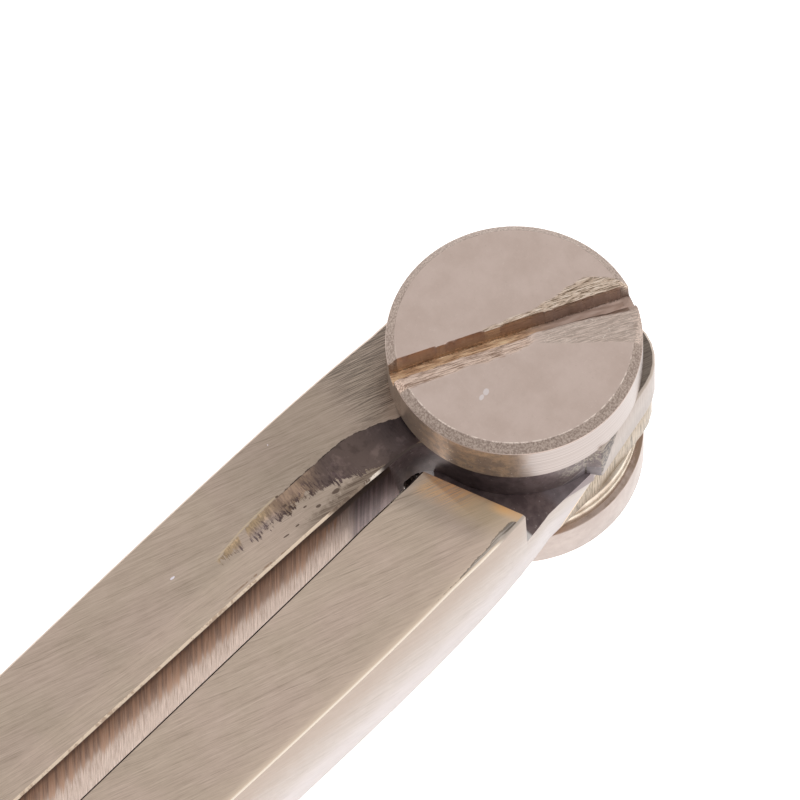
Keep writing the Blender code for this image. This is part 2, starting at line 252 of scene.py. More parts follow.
def make_grinding():
    """Straight parallel scratches in a plane: noise stretched along a heading in the vector's XY.

    Tone is fine scratches over broad bands, Hairline the few crisp ones.
    """
    inputs = [
        ("Vector", "Vector", (0, 0, 0)),
        ("Heading", "Float", 0.0),
        ("Length", "Float", 3.5),
        ("Width", "Float", 0.07),
    ]
    group, given, result = new_group("grinding", inputs, ["Tone", "Band", "Hairline"])
    turn = calc(group, "MULTIPLY", given["Heading"], -1.0)
    sockets = {"Vector": given["Vector"], "Axis": (0, 0, 1), "Angle": turn}
    turned = add(group, "VectorRotate", sockets, rotation_type="AXIS_ANGLE").outputs[0]
    along = calc(group, "DIVIDE", 1.0, given["Length"])
    over = calc(group, "DIVIDE", 1.0, given["Width"])
    scale = add(group, "CombineXYZ", {0: along, 1: over, 2: over}).outputs[0]
    stretched = add(group, "VectorMath", {0: turned, 1: scale}, operation="MULTIPLY").outputs[0]
    fine = noise(group, stretched, 1.0, 5.0, 0.7)
    wide = add(group, "VectorMath", {0: stretched, "Scale": 0.17}, operation="SCALE").outputs[0]
    band = noise(group, wide, 1.0, 3.0, 0.6)
    aside = add(group, "VectorMath", {0: stretched, 1: (7.3, 3.1, 0.0)}, operation="ADD").outputs[0]
    hair = ramp(group, noise(group, aside, 0.8, 2.0, 0.5), 0.66, 0.74)
    group.links.new(fine, result["Tone"])
    group.links.new(band, result["Band"])
    group.links.new(hair, result["Hairline"])
    return group


grinding = make_grinding()


def ground(tree, vector, heading, length, width):
    """The grinding group's outputs, for scratches of a length and a width in mm."""
    sockets = {"Vector": vector, "Heading": heading, "Length": length, "Width": width}
    return add(tree, "Group", sockets, node_tree=grinding).outputs


def metal_look(name, roughness, anisotropy=0.0, metallic=1.0):
    """A metal's material: its tree, its shader, and its place in mm as a vector and as x, y and z."""
    look = bpy.data.materials.new(name)
    look.use_nodes = True
    tree = look.node_tree
    shader = tree.nodes["Principled BSDF"]
    shader.inputs["Metallic"].default_value = metallic
    shader.inputs["Roughness"].default_value = roughness
    shader.inputs["Anisotropic"].default_value = anisotropy
    coordinates = add(tree, "TexCoord").outputs["Object"]
    spot = add(tree, "VectorMath", {0: coordinates, "Scale": 1 / MM}, operation="SCALE").outputs[0]
    return look, tree, shader, spot, add(tree, "SeparateXYZ", {0: spot}).outputs


def bump(tree, height, depth, strength=1.0, below=None):
    """A height between 0 and 1, depth mm deep, as a normal over another normal."""
    sockets = {"Height": height, "Distance": depth * MM, "Strength": strength}
    if below:
        sockets["Normal"] = below
    return add(tree, "Bump", sockets).outputs[0]


def ground_colour(tree, spot, heading, crossing, dark, middle, light, fine=0.034):
    """Ground metal's colour and height: two sets of scratches, mottled, with a few crisp hairlines."""
    first = ground(tree, spot, heading, 2.2, fine)
    second = ground(tree, spot, crossing, 3.0, 1.5 * fine)
    both = calc(tree, "MULTIPLY_ADD", second["Tone"], 0.4, product(tree, first["Tone"], 0.6))
    mottle = noise(tree, spot, 1.3, 4.0, 0.65)
    mixed = calc(tree, "MULTIPLY_ADD", first["Band"], 0.2, product(tree, both, 0.7))
    mixed = calc(tree, "MULTIPLY_ADD", mottle, 0.1, mixed)
    colour = blend(tree, ramp(tree, mixed, 0.33, 0.53), dark, middle)
    colour = blend(tree, ramp(tree, mixed, 0.49, 0.65), colour, light)
    colour = blend(tree, product(tree, second["Hairline"], 0.6), colour, scaled(tree, dark, 0.8))
    colour = blend(tree, product(tree, first["Hairline"], 0.35), colour, scaled(tree, light, 1.2))
    return colour, both


def outer_arris(node_name):
    """The line of a leg's outer upper edge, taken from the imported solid's vertices."""
    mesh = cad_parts[node_name].data
    spots = np.empty(len(mesh.vertices) * 3)
    mesh.vertices.foreach_get("co", spots)
    spots = spots.reshape(-1, 3) / MM
    edge = spots[(spots[:, 2] > LEG_TOP - 0.02) & (np.abs(spots[:, 0]) > 4.5)]
    edge = edge[np.argsort(edge[:, 1])]
    return [(y, float(np.interp(y, edge[:, 1], edge[:, 0]))) for y in ARRIS_PLACES]


def spots_mask(tree, x, y, spots, cloud, heading):
    """Small ragged ovals, each longer along the heading than across it."""
    cos, sin = math.cos(heading), math.sin(heading)
    total = None
    for across, along, length, width in spots:
        dx = calc(tree, "SUBTRACT", x, across)
        dy = calc(tree, "SUBTRACT", y, along)
        far = calc(tree, "MULTIPLY_ADD", dx, cos / length, product(tree, dy, sin / length))
        wide = calc(tree, "MULTIPLY_ADD", dx, -sin / width, product(tree, dy, cos / width))
        reach = calc(tree, "MULTIPLY_ADD", far, far, product(tree, wide, wide))
        oval = ramp(tree, calc(tree, "MULTIPLY_ADD", cloud, 4.0, reach), 1.2, 0.7)
        total = calc(tree, "MAXIMUM", total, oval) if total else oval
    return total


def hollow_skin(tree, spot, x, y, across, cloud, flecks):
    """The left leg's shallow hollow: where its skin is, and its colour. Across is the distance from its
    outer line.

    The skin is gold and chattered at the hollow's far end and darkens to purple brown by the joint. It
    starts sharply on its outer side, and frays along the chatter marks on its inner side.
    """
    outer = ramp(tree, calc(tree, "MULTIPLY_ADD", cloud, 0.25, across), 0.0, 0.05)
    ragged = product(tree, calc(tree, "SUBTRACT", flecks["Tone"], 0.5), 1.6)
    ragged = calc(tree, "MULTIPLY_ADD", cloud, 1.4, ragged)
    ragged = product(tree, ragged, ramp(tree, y, -7.6, -9.8))
    inner = calc(tree, "ADD", calc(tree, "SUBTRACT", drawn(tree, y, HOLLOW_INNER), x), ragged)
    inner = ramp(tree, inner, -0.02, 0.08)
    length = ramp(tree, y, -17.7, -17.55)
    gap = calc(tree, "MULTIPLY_ADD", x, 0.45, calc(tree, "ADD", y, 17.15))
    gap = ramp(tree, calc(tree, "ABSOLUTE", gap), 0.2, 0.3)
    where = product(tree, outer, inner, length, gap)

    gold = blend(tree, ramp(tree, across, 0.15, 0.75), (0.5, 0.36, 0.225), (0.44, 0.34, 0.3))
    skin = blend(tree, ramp(tree, y, -14.6, -13.2), gold, (0.31, 0.215, 0.155))
    slanted = calc(tree, "MULTIPLY_ADD", across, 0.8, y)
    skin = blend(tree, ramp(tree, slanted, -11.6, -10.0), skin, (0.15, 0.108, 0.095))
    deep = ramp(tree, calc(tree, "MULTIPLY_ADD", cloud, 2.0, across), 0.1, 0.9)
    chatter = product(tree, ramp(tree, flecks["Tone"], 0.49, 0.54), ramp(tree, y, -9.0, -10.4))
    chatter = product(tree, chatter, calc(tree, "MAXIMUM", deep, 0.35))
    skin = blend(tree, product(tree, chatter, 0.85), skin, (0.095, 0.065, 0.065))
    skin = blend(tree, ramp(tree, y, -9.0, -6.2), skin, (0.075, 0.056, 0.056))
    patches = noise(tree, spot, 1.0, 5.0, 0.6)
    skin = blend(tree, ramp(tree, patches, 0.52, 0.64), skin, scaled(tree, skin, 1.45))
    skin = blend(tree, ramp(tree, patches, 0.46, 0.36), skin, scaled(tree, skin, 0.75))
    shore = stripe(tree, calc(tree, "SUBTRACT", across, 0.03), 0.03)
    shore = product(tree, shore, ramp(tree, y, -13.4, -12.6))
    skin = blend(tree, shore, skin, (0.06, 0.045, 0.04))
    return where, skin


def flat_look():
    """The legs' upper and lower faces: the hollow, its rim and bank, and the stains at the shoulder. The
    rim's pale line is a painted highlight, the lap's top beside the head is darkened by painted shade as
    well as dull metal, and a painted highlight lies along the right outer arris.
    """
    look, tree, shader, spot, (x, y, z) = metal_look("leg_flat", 0.42, 0.4)
    metal = ((0.36, 0.28, 0.22), (0.57, 0.455, 0.37), (0.68, 0.555, 0.465))
    colour, height = ground_colour(tree, spot, GRIND_HEADING, GRIND_CROSSING, *metal)
    steeper, _ = ground_colour(tree, spot, ARRIS_HEADING, GRIND_HEADING, *metal, fine=0.028)
    top = ramp(tree, z, LEG_TOP - 0.6, LEG_TOP - 0.4)
    left_side = ramp(tree, x, 0.1, 0.0)
    by_arris = product(tree, ramp(tree, x, -2.7, -2.2), left_side, ramp(tree, y, -11.5, -13.5))
    colour = blend(tree, by_arris, colour, scaled(tree, steeper, 1.1))
    colour = scaled(tree, colour, calc(tree, "MULTIPLY_ADD", left_side, -0.08, 1.12))
    drift = noise(tree, spot, 0.35, 3.0, 0.5)
    rosy = add(tree, "VectorMath", {0: colour, 1: (0.99, 0.97, 0.98)}, operation="MULTIPLY").outputs[0]
    olive = add(tree, "VectorMath", {0: colour, 1: (0.94, 0.94, 0.92)}, operation="MULTIPLY").outputs[0]
    colour = blend(tree, ramp(tree, drift, 0.3, 0.7), rosy, olive)
    near_hollow = product(tree, ramp(tree, y, -17.5, -12.0), left_side, 0.16)
    colour = scaled(tree, colour, calc(tree, "SUBTRACT", 1.0, near_hollow))
    cloud = calc(tree, "SUBTRACT", noise(tree, spot, 2.4, 5.0, 0.65), 0.5)
    flecks = ground(tree, spot, CHATTER_HEADING, 0.8, 0.1)

    by_head = product(tree, ramp(tree, y, -8.5, -6.0), ramp(tree, x, -2.5, -3.0), top)
    dark_strokes = product(tree, by_head, ramp(tree, height, 0.55, 0.45))
    colour = blend(tree, product(tree, dark_strokes, 0.8), colour, (0.16, 0.13, 0.11))

    across = calc(tree, "SUBTRACT", x, drawn(tree, y, HOLLOW_OUTER))
    where, skin = hollow_skin(tree, spot, x, y, across, cloud, flecks)
    hollow = product(tree, where, left_side, top)
    # A painted highlight: a thin pale line along the hollow's outer edge, where its sloping edge would
    # catch the light.
    rim = product(tree, stripe(tree, calc(tree, "ADD", across, 0.04), 0.04), left_side, top, 0.35)
    rim = product(tree, rim, ramp(tree, y, -17.9, -17.0), ramp(tree, y, -12.8, -13.6))
    colour = blend(tree, rim, colour, (0.85, 0.68, 0.42))
    inner_edge = calc(tree, "SUBTRACT", x, drawn(tree, y, INNER_ARRIS))
    bank = calc(tree, "MULTIPLY_ADD", cloud, 1.6, inner_edge)
    bank = product(tree, ramp(tree, bank, -0.9, -0.45), ramp(tree, y, -14.4, -12.0), left_side, top)
    brown_bank = blend(tree, ramp(tree, height, 0.44, 0.56), (0.16, 0.115, 0.085), (0.36, 0.28, 0.22))
    colour = blend(tree, product(tree, bank, 0.9), colour, brown_bank)
    colour = blend(tree, hollow, colour, skin)

    pits = product(tree, spots_mask(tree, x, y, PITS, cloud, ARRIS_HEADING), top)
    colour = blend(tree, product(tree, pits, 0.9), colour, (0.13, 0.09, 0.07))
    nicks = product(tree, spots_mask(tree, x, y, NICKS, cloud, ARRIS_HEADING), top)
    colour = blend(tree, nicks, colour, (0.95, 0.88, 0.95))
    brown_line = stripe(tree, calc(tree, "ADD", inner_edge, 0.12), 0.04)
    brown_line = product(tree, brown_line, ramp(tree, cloud, -0.1, 0.05), left_side, top)
    brown_line = product(tree, brown_line, ramp(tree, y, -19.5, -17.5), ramp(tree, y, -12.0, -13.0))
    colour = blend(tree, product(tree, brown_line, 0.7), colour, (0.3, 0.17, 0.1))

    slant = calc(tree, "MULTIPLY_ADD", x, -0.32, calc(tree, "ADD", y, 8.0))
    right_top = product(tree, top, calc(tree, "SUBTRACT", 1.0, left_side), ramp(tree, y, -3.5, -4.5))
    # The lap's top beside the head: dull unground metal, darkened further by painted shade from the head.
    shaded_lap_top = product(tree, top, ramp(tree, x, 2.0, 2.6), ramp(tree, y, -3.5, -2.5))
    dull = blend(tree, ramp(tree, height, 0.4, 0.56), (0.12, 0.095, 0.078), (0.25, 0.205, 0.17))
    colour = blend(tree, shaded_lap_top, colour, dull)
    shade = product(tree, ramp(tree, slant, -2.6, -1.2), ramp(tree, x, 6.0, 4.6), right_top)
    colour = blend(tree, product(tree, shade, 0.85), colour, scaled(tree, colour, 0.74))
    gilt = product(tree, ramp(tree, slant, -1.3, -0.3), right_top, ramp(tree, height, 0.46, 0.53))
    gilt = product(tree, gilt, ramp(tree, x, 0.9, 1.6), ramp(tree, x, 4.6, 3.0))
    colour = blend(tree, product(tree, gilt, 0.85), colour, (0.7, 0.44, 0.24))
    olive_patch = product(tree, ramp(tree, slant, -1.8, -0.4), ramp(tree, x, 2.6, 4.0), right_top, 0.5)
    colour = blend(tree, olive_patch, colour, (0.58, 0.45, 0.28))
    corner = product(tree, ramp(tree, slant, -0.3, 0.25), ramp(tree, x, 4.2, 5.3), right_top)
    colour = blend(tree, product(tree, corner, 0.9), colour, (0.92, 0.56, 0.25))

    edge = calc(tree, "SUBTRACT", x, drawn(tree, y, outer_arris("right_leg")))
    # A painted highlight: a soft pale glow on the top face beside the rounded right outer arris, brighter
    # close to the edge.
    edge_highlight = product(tree, ramp(tree, edge, -1.3, -0.2), right_top, 0.35)
    colour = blend(tree, edge_highlight, colour, (0.78, 0.62, 0.5))
    edge_highlight = product(tree, ramp(tree, edge, -0.3, 0.0), right_top, ramp(tree, y, -6.9, -7.8), 0.6)
    colour = blend(tree, edge_highlight, colour, (0.9, 0.73, 0.58))
    flat = calc(tree, "SUBTRACT", x, drawn(tree, y, WORN_ARRIS))
    flat = calc(tree, "MULTIPLY_ADD", cloud, 0.3, flat)
    along = ground(tree, spot, LENGTHWISE, 1.5, 0.05)
    grey = blend(tree, ramp(tree, along["Tone"], 0.42, 0.58), (0.36, 0.3, 0.25), (0.68, 0.6, 0.53))
    grey = blend(tree, ramp(tree, y, -7.4, -6.6), grey, scaled(tree, grey, 0.55))
    worn = product(tree, ramp(tree, flat, -0.02, 0.04), ramp(tree, y, -13.8, -12.5), right_top)
    colour = blend(tree, worn, colour, grey)
    crease = product(tree, stripe(tree, flat, 0.025), ramp(tree, y, -12.8, -10.5), right_top, 0.7)
    colour = blend(tree, crease, colour, (0.2, 0.16, 0.13))
    tree.links.new(colour, shader.inputs["Base Color"])
    tree.links.new(calc(tree, "MULTIPLY_ADD", hollow, -0.06, 0.42), shader.inputs["Roughness"])
    scratched = bump(tree, height, 0.01, 0.5)
    scored = bump(tree, product(tree, hollow, flecks["Tone"]), 0.03, 0.6, scratched)
    tree.links.new(scored, shader.inputs["Normal"])
    return look


def upright_marks(tree, x, y, z):
    """Scores that run up and down the laps' round outer walls."""
    around = product(tree, calc(tree, "ARCTAN2", y, x), 6.2)
    turned = add(tree, "CombineXYZ", {0: z, 1: around, 2: 0.0}).outputs[0]
    return ground(tree, turned, 0.0, 1.4, 0.08)


def gilded(tree, colour, marks, x, y, z):
    """A wall's colour under the right lap's skins: scored gilt below a bright slanting edge, and a dark
    violet skin that laps over from the ledge above."""
    gilt = blend(tree, ramp(tree, marks["Tone"], 0.4, 0.56), (0.22, 0.165, 0.105), (0.5, 0.4, 0.3))
    scored = product(tree, ramp(tree, marks["Band"], 0.55, 0.62), ramp(tree, marks["Tone"], 0.52, 0.45))
    gilt = blend(tree, product(tree, scored, 0.85), gilt, (0.1, 0.075, 0.05))
    lap = product(tree, ramp(tree, x, 4.0, 4.5), ramp(tree, z, LEDGE, LEDGE - 0.1))
    line = calc(tree, "MULTIPLY_ADD", y, 0.79, calc(tree, "SUBTRACT", 6.5, z))
    colour = blend(tree, product(tree, ramp(tree, line, -0.05, 0.05), lap), colour, gilt)
    edge = product(tree, stripe(tree, line, 0.07), lap, ramp(tree, y, -0.8, -2.0))
    colour = blend(tree, edge, colour, (0.85, 0.66, 0.46))
    shelf = calc(tree, "MULTIPLY_ADD", y, 0.476, calc(tree, "SUBTRACT", z, 5.44))
    shelf = product(tree, ramp(tree, shelf, -0.04, 0.04), ramp(tree, y, -3.4, -3.0), lap)
    shelf = product(tree, shelf, ramp(tree, y, -0.5, -0.7))
    return blend(tree, shelf, colour, (0.27, 0.22, 0.22))


def wall_look():
    """The legs' ground outer sides, with the lap's gilt at the joint; a painted reflection makes them
    browner along the top arris and paler pink towards the bottom.
    """
    look, tree, shader, _, (x, y, z) = metal_look("leg_wall", 0.36, 0.3)
    turned = add(tree, "CombineXYZ", {0: y, 1: z, 2: x}).outputs[0]
    metal = ((0.37, 0.31, 0.27), (0.52, 0.46, 0.425), (0.62, 0.56, 0.53))
    colour, height = ground_colour(tree, turned, WALL_HEADING, 0.8 * WALL_HEADING, *metal)
    # Painted reflection: browner towards the top arris and paler pink towards the bottom, as the walls'
    # curve would reflect the bright floor below.
    deep = calc(tree, "MULTIPLY_ADD", calc(tree, "SUBTRACT", height, 0.5), 12.0, z)
    brown = ramp(tree, deep, LEG_TOP - 3.4, LEG_TOP - 0.8)
    colour = blend(tree, product(tree, brown, 0.65), colour, (0.38, 0.285, 0.22))
    low = product(tree, ramp(tree, z, LEG_TOP - 3.2, LEG_TOP - 4.8), 0.5)
    colour = blend(tree, low, colour, (0.66, 0.62, 0.64))
    colour = gilded(tree, colour, upright_marks(tree, x, y, z), x, y, z)
    tree.links.new(colour, shader.inputs["Base Color"])
    tree.links.new(bump(tree, height, 0.01, 0.5), shader.inputs["Normal"])
    return look


def inner_look():
    """The milled inner faces: upright cutter marks, a ragged brown skin above, and purple by the joint."""
    look, tree, shader, _, (_, y, z) = metal_look("leg_inner", 0.34)
    leaning = calc(tree, "MULTIPLY_ADD", z, -0.12, y)
    turned = add(tree, "CombineXYZ", {0: z, 1: leaning, 2: 0.0}).outputs[0]
    marks = ground(tree, turned, 0.0, 1.8, 0.034)
    colour = blend(tree, ramp(tree, marks["Tone"], 0.4, 0.58), (0.29, 0.215, 0.17), (0.58, 0.485, 0.43))
    ragged = calc(tree, "MULTIPLY_ADD", calc(tree, "SUBTRACT", marks["Tone"], 0.5), 3.5, z)
    ragged = calc(tree, "MULTIPLY_ADD", calc(tree, "SUBTRACT", marks["Band"], 0.5), 3.0, ragged)
    ragged = calc(tree, "ADD", ragged, drawn(tree, y, BROWN_DEPTH))
    brown = ramp(tree, ragged, LEG_TOP - 0.4, LEG_TOP + 0.4)
    streak = ramp(tree, marks["Band"], 0.42, 0.58)
    skin = blend(tree, streak, (0.2, 0.115, 0.075), (0.38, 0.225, 0.14))
    skin = blend(tree, ramp(tree, marks["Tone"], 0.55, 0.66), skin, (0.42, 0.29, 0.21))
    colour = blend(tree, product(tree, brown, 0.85), colour, skin)
    shadow = ramp(tree, z, LEG_TOP - 0.8, LEG_TOP - 0.2)
    colour = blend(tree, product(tree, shadow, 0.6), colour, (0.1, 0.055, 0.035))
    joint_dark = calc(tree, "MULTIPLY_ADD", marks["Tone"], 2.0, leaning)
    joint_dark = ramp(tree, joint_dark, -11.1, -10.4)
    purple = blend(tree, ramp(tree, marks["Band"], 0.4, 0.62), (0.13, 0.09, 0.09), (0.25, 0.185, 0.18))
    colour = blend(tree, joint_dark, colour, purple)
    brow = product(tree, ramp(tree, z, LEG_TOP - 0.85, LEG_TOP - 0.55), ramp(tree, y, -13.4, -12.4))
    colour = blend(tree, brow, colour, (0.17, 0.122, 0.092))
    tree.links.new(colour, shader.inputs["Base Color"])
    tree.links.new(bump(tree, marks["Tone"], 0.015, 0.5), shader.inputs["Normal"])
    return look


def arris_look():
    """The broken arrises: bare and bright where they are rubbed, with a painted highlight on the right
    outer one and a pale painted highlight streak on the inner ones by the joint; a painted shadow darkens
    the right inner one, and dirt with painted shade darkens them by the joint."""
    look, tree, shader, spot, (x, y, z) = metal_look("leg_arris", 0.36)
    wear = noise(tree, spot, 1.6, 5.0, 0.7)
    colour = blend(tree, ramp(tree, wear, 0.4, 0.52), (0.58, 0.43, 0.32), (0.88, 0.71, 0.55))
    # A painted shadow: the right inner arris dark, in the gap between the legs.
    inner_arris_shadow = product(tree, ramp(tree, x, 0.2, 0.3), ramp(tree, x, 1.9, 1.8))
    colour = blend(tree, inner_arris_shadow, colour, (0.1, 0.08, 0.075))
    # By the joint the inner arrises are dark with dirt and painted shade, crossed by a pale streak that is
    # a painted highlight.
    dull = blend(tree, ramp(tree, wear, 0.4, 0.6), (0.2, 0.145, 0.11), (0.34, 0.26, 0.2))
    streak = product(tree, ramp(tree, y, -9.9, -9.5), ramp(tree, y, -7.6, -8.0))
    streak = product(tree, streak, ramp(tree, wear, 0.42, 0.5))
    dull = blend(tree, streak, dull, (0.98, 0.86, 0.74))
    joint_shade_and_dirt = product(tree, ramp(tree, x, -2.0, -1.8), ramp(tree, x, 1.9, 1.8))
    joint_shade_and_dirt = product(tree, joint_shade_and_dirt, ramp(tree, y, -12.4, -11.6))
    dull = blend(tree, ramp(tree, y, -9.0, -8.4), dull, (0.075, 0.056, 0.05))
    colour = blend(tree, joint_shade_and_dirt, colour, dull)
    colour = blend(tree, ramp(tree, x, -3.0, -3.5), colour, (0.53, 0.42, 0.35))
    # The right outer arris: worn bare, with a painted highlight making its line bright cream, duller
    # towards the shoulder.
    low = ramp(tree, z, LEG_TOP - 0.03, LEG_TOP - 0.07)
    worn = blend(tree, low, (0.8, 0.64, 0.5), (1.0, 0.88, 0.74))
    worn = blend(tree, ramp(tree, y, -7.9, -7.1), worn, (0.5, 0.42, 0.36))
    colour = blend(tree, ramp(tree, x, 3.0, 3.5), colour, worn)
    tree.links.new(colour, shader.inputs["Base Color"])
    return look


def lap_look():
    """The laps and shoulders inside the joint: a dark violet skin, scuffed beige towards the open side,
    with a painted reflection making the ledge's point by the wall pale like the lit wall.
    """
    look, tree, shader, spot, (x, y, z) = metal_look("leg_lap", 0.4, metallic=0.3)
    cloud = noise(tree, spot, 1.5, 5.0, 0.65)
    dark = blend(tree, ramp(tree, cloud, 0.35, 0.65), (0.13, 0.09, 0.09), (0.22, 0.16, 0.155))
    grey = blend(tree, ramp(tree, cloud, 0.35, 0.65), (0.21, 0.17, 0.18), (0.29, 0.24, 0.25))
    on_ledge = ramp(tree, z, LEDGE + 0.03, LEDGE - 0.01)
    open_side = product(tree, on_ledge, ramp(tree, y, -3.5, -2.9), ramp(tree, x, 4.6, 5.0))
    colour = blend(tree, open_side, dark, grey)
    # A painted reflection: the ledge's point by the wall painted pale, like the lit wall beside it.
    lit_wall_tip = product(tree, on_ledge, ramp(tree, y, -5.15, -5.3), ramp(tree, x, 5.0, 5.4))
    colour = blend(tree, lit_wall_tip, colour, (0.9, 0.85, 0.82))
    foot = calc(tree, "SUBTRACT", z, calc(tree, "MULTIPLY_ADD", y, 0.52, 8.03))
    wall = product(tree, calc(tree, "SUBTRACT", 1.0, on_ledge), ramp(tree, x, 4.6, 5.2))
    wall = product(tree, wall, ramp(tree, y, -2.8, -2.3))
    below = product(tree, wall, ramp(tree, foot, 0.05, -0.05))
    colour = blend(tree, below, colour, scaled(tree, grey, 0.8))
    scuffs = ramp(tree, noise(tree, spot, 5.0, 4.0, 0.7), 0.44, 0.6)
    scuffs = product(tree, wall, scuffs, ramp(tree, calc(tree, "MULTIPLY_ADD", x, -0.5, foot), -2.75, -2.3))
    colour = blend(tree, product(tree, scuffs, ramp(tree, x, 5.0, 5.7)), colour, (0.42, 0.36, 0.29))
    line = product(tree, wall, stripe(tree, foot, 0.03), ramp(tree, x, 5.9, 5.6), 0.6)
    colour = blend(tree, line, colour, (0.6, 0.52, 0.48))
    flecks = product(tree, ramp(tree, noise(tree, spot, 6.0, 2.0, 0.6), 0.68, 0.72), 0.6)
    colour = blend(tree, flecks, colour, (0.5, 0.44, 0.4))
    tree.links.new(colour, shader.inputs["Base Color"])
    tree.links.new(bump(tree, cloud, 0.02, 0.5), shader.inputs["Normal"])
    return look


def rim_wall_look():
    """The outer walls of the two laps: bare above, scuffed dark over the swell, and gilt below."""
    look, tree, shader, spot, (x, y, z) = metal_look("leg_lap_wall", 0.34)
    marks = upright_marks(tree, x, y, z)
    bare = blend(tree, ramp(tree, marks["Tone"], 0.35, 0.65), (0.38, 0.315, 0.28), (0.46, 0.39, 0.35))
    swell = calc(tree, "MULTIPLY_ADD", y, -1.5, calc(tree, "SUBTRACT", z, 7.9))
    swell = calc(tree, "MULTIPLY_ADD", noise(tree, spot, 4.0, 4.0, 0.7), 0.6, swell)
    swell = product(tree, ramp(tree, swell, 0.2, 0.4), ramp(tree, y, 1.8, 1.2))
    swell = product(tree, swell, ramp(tree, z, LEDGE + 0.03, LEDGE + 0.09))
    scuffed = ramp(tree, noise(tree, spot, 5.0, 4.0, 0.7), 0.44, 0.6)
    scuffed = blend(tree, scuffed, (0.1, 0.08, 0.078), (0.3, 0.25, 0.205))
    colour = gilded(tree, blend(tree, swell, bare, scuffed), marks, x, y, z)
    tree.links.new(colour, shader.inputs["Base Color"])
    tree.links.new(bump(tree, marks["Tone"], 0.015, 0.5), shader.inputs["Normal"])
    return look


def dressed(node_name, body, width):
    """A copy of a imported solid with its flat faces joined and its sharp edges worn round."""
    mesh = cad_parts[node_name].data.copy()
    mesh.materials.clear()
    obj = bpy.data.objects.new(node_name + "_dressed", mesh)
    bpy.context.scene.collection.objects.link(obj)
    shape = bmesh.new()
    shape.from_mesh(mesh)
    bmesh.ops.remove_doubles(shape, verts=shape.verts, dist=1e-7)
    bmesh.ops.dissolve_limit(shape, angle_limit=math.radians(0.03), verts=shape.verts, edges=shape.edges)
    sharp = [e for e in shape.edges if e.is_manifold and e.calc_face_angle() > SHARP_ANGLE]
    rounding = {"offset": width, "segments": 2, "profile": 0.5, "affect": "EDGES", "clamp_overlap": True}
    bmesh.ops.bevel(shape, geom=sharp, **rounding)
    bmesh.ops.triangulate(shape, faces=[f for f in shape.faces if len(f.verts) > 4])
    shape.to_mesh(mesh)
    shape.free()
    mesh.shade_smooth()
    mesh.set_sharp_from_angle(angle=SHARP_ANGLE)
    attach(obj, body)
    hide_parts(node_name)
    return obj


leg_looks = [flat_look(), wall_look(), inner_look(), arris_look(), lap_look(), rim_wall_look()]
FLAT, WALL, INNER, ARRIS, LAP, RIM_WALL = range(6)


def paint_leg(leg, side):
    """Gives each face the look of its place, from the way it faces and its distance from the pivot."""
    mesh = leg.data
    for look in leg_looks:
        mesh.materials.append(look)
    count = len(mesh.polygons)
    normals = np.empty(count * 3)
    centres = np.empty(count * 3)
    mesh.polygons.foreach_get("normal", normals)
    mesh.polygons.foreach_get("center", centres)
    normals = normals.reshape(-1, 3)
    x, y, z = centres.reshape(-1, 3).T / MM
    radius = np.hypot(x, y)
    facing_up = np.abs(normals[:, 2])
    upright = facing_up < 0.3
    inside = (z > LEG_TOP - 5.4) & (z < LEG_TOP - 0.2)
    index = np.full(count, FLAT)
    index[(facing_up >= 0.3) & (facing_up < 0.8)] = ARRIS
    index[upright] = WALL
    index[upright & (normals[:, 0] * side < -0.6) & (y < -6.6) & (np.abs(x) < 4)] = INNER
    outward = (normals[:, 0] * x + normals[:, 1] * y) > 0
    index[upright & (y > -1.2) & outward] = RIM_WALL
    index[upright & (normals[:, 1] < -0.5) & (y > -2.2) & (radius > 5.6)] = LAP
    index[(radius < 7.8) & upright & (~outward | (y < -1.2)) & (np.abs(x) < 5.75)] = LAP
    index[(facing_up > 0.88) & inside & (radius < 8.0)] = LAP
    mesh.polygons.foreach_set("material_index", index)


for leg_name, leg_body, leg_side in (("right_leg", "right_side", 1), ("left_leg", "left_side", -1)):
    paint_leg(dressed(leg_name, leg_body, LEG_ROUNDING), leg_side)


# PIVOT SCREW
# A cheese-headed nickel-silver screw, faced on the lathe, its chamfer left granular. Screwdrivers have
# torn the slot's upper edge, flattened the lower one, and broken a wide chip out at its right-hand end.

HEAD_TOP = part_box("pivot_screw")[1].z - 0.05 * MM
HEAD_BASE = LEG_TOP * MM
HEAD_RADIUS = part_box("pivot_screw")[1].x
HEAD_RIM = HEAD_RADIUS - 0.45 * MM
CHAMFER_DROP = 0.40 * MM
SLOT_HEADING = math.radians(63.7)
SLOT_LOW = -0.12
SLOT_HIGH = 0.74
SLOT_DEEP = 1.15
# How far across the slot the torn burr reaches, at places along it.
BURR_PLACES = [-1.6, -1.2, 1.3, 2.7, 4.25, 5.6, 6.3]
BURR_EDGE = [0.74, 0.90, 1.05, 1.42, 1.88, 1.40, 0.76]
# Two shallow pale dents in the face: along the slot, across it, and half their length and width.
DENTS = [(-2.3, -2.4, 0.21, 0.14), (-2.6, -2.6, 0.19, 0.12)]
DENT_HEADING = 0.8
# The head's surface: slices along the slot, points across the face, and points up its wall.
SLICES = 341
FACE_POINTS = 230
WALL_POINTS = 7


def ripple(along, over, seed, octaves=4, rough=0.55):
    """Smooth random waves: sines at random headings, each octave at twice the rate and a lower height."""
    rng = np.random.default_rng(seed)
    total = along * 0 + over * 0
    size = 1.0
    for octave in range(octaves):
        for _ in range(4):
            heading = rng.uniform(0, math.tau)
            rate = 2.0**octave * rng.uniform(0.8, 1.25)
            wave = along * math.cos(heading) + over * math.sin(heading)
            total = total + size * np.sin(wave * rate + rng.uniform(0, math.tau))
        size *= rough
    return total / 4


def step(value, low, high):
    """0 below low and 1 above high, smoothly between."""
    share = np.clip((value - low) / (high - low), 0, 1)
    return share * share * (3 - 2 * share)


